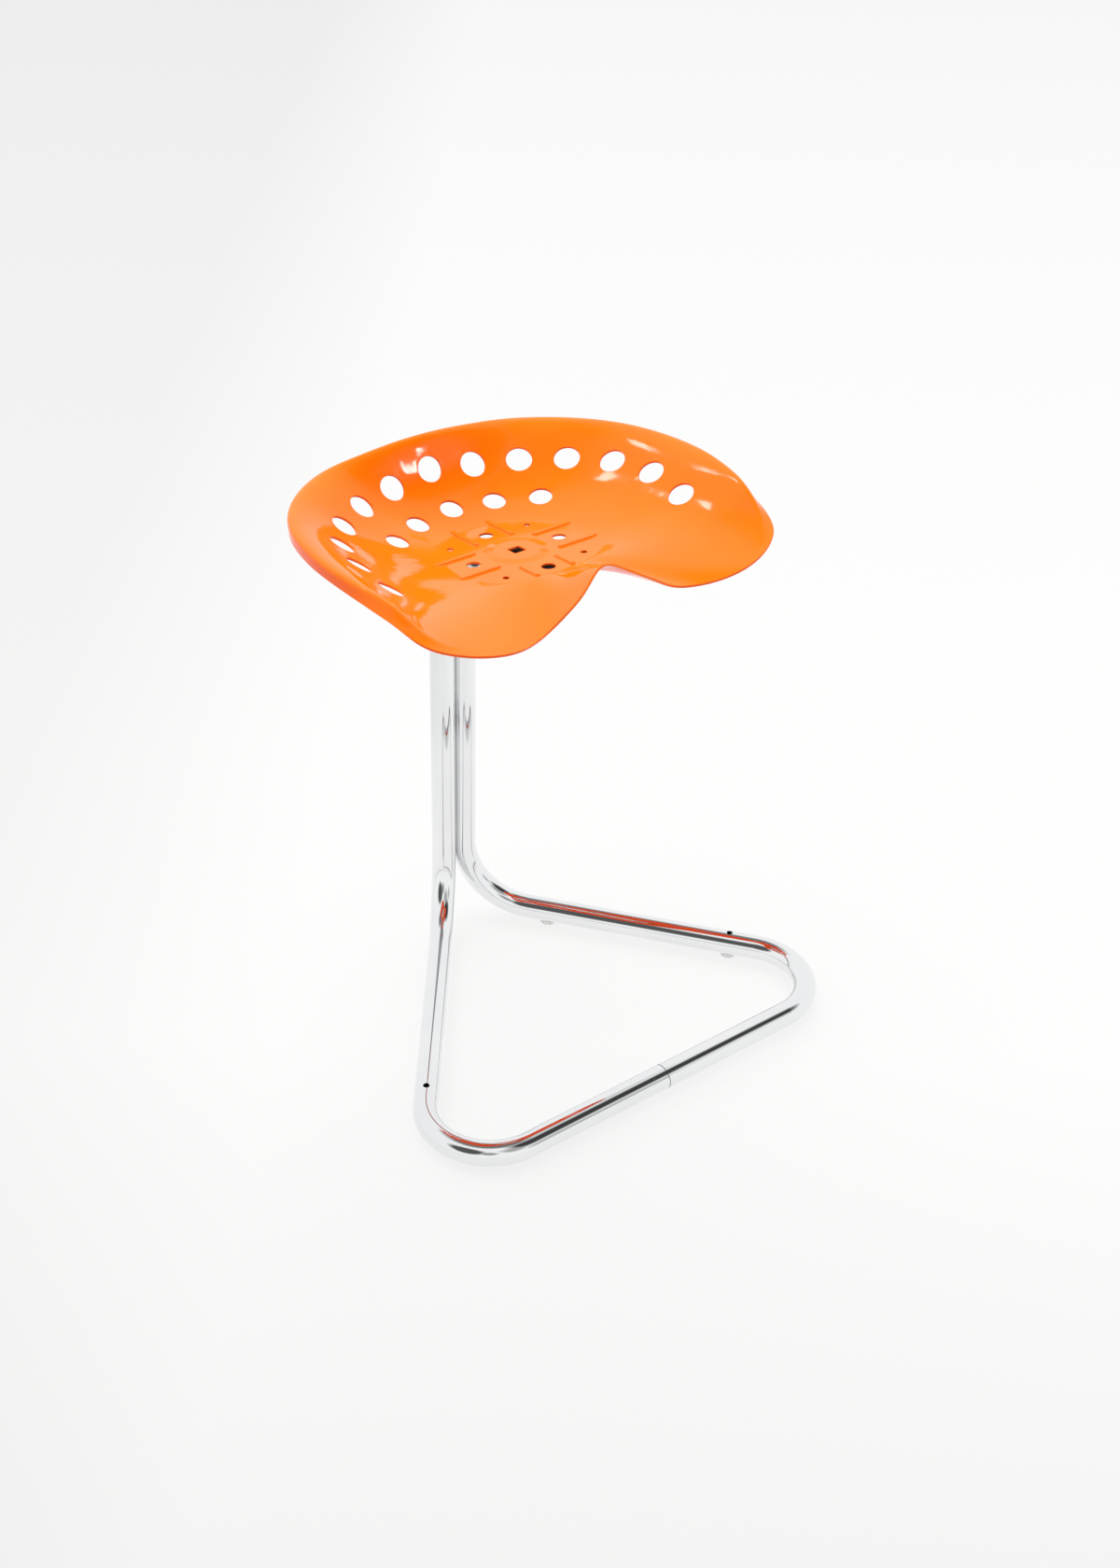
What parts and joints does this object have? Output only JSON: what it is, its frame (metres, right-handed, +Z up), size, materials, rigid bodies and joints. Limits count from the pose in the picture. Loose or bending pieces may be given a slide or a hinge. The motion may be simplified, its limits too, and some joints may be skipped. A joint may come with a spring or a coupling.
{
  "type": "tractor seat stool",
  "caption": "Pressed steel tractor seat with a rolled rim and perforations, on a cantilever frame of bent chromed tube with a triangular base.",
  "frame": {"origin": "on the floor, under the middle of the stool's width and depth", "axes": "+Z up, -Y the way the sitter faces, +X the sitter's left; symmetric about X = 0"},
  "size_m": [0.4574, 0.4162, 0.5207],
  "materials": {
    "orange_enamel": "glossy orange stove enamel",
    "chrome_tube": "polished chrome plating",
    "black_steel": "satin black paint",
    "zinc_steel": "bright zinc plating",
    "plain_steel": "drawn steel, lightly oiled",
    "black_rubber": "matt black rubber",
    "black_plastic": "fine-grained black plastic",
    "grey_nylon": "semi-translucent nylon"
  },
  "bodies": {
    "root": {"seat_pan": "orange_enamel", "seat_studs": "zinc_steel", "seat_isolators": "black_rubber", "front_cross_bar": "black_steel", "rear_cross_bar": "black_steel", "seat_washers": "zinc_steel", "seat_nuts": "zinc_steel", "left_tube": "chrome_tube", "right_tube": "chrome_tube", "left_arm_plug": "black_plastic", "right_arm_plug": "black_plastic", "left_front_glide": "grey_nylon", "left_rear_glide": "grey_nylon", "right_front_glide": "grey_nylon", "right_rear_glide": "grey_nylon", "joint_spigot": "plain_steel", "joint_screws": "zinc_steel"}
  },
  "joints": []
}
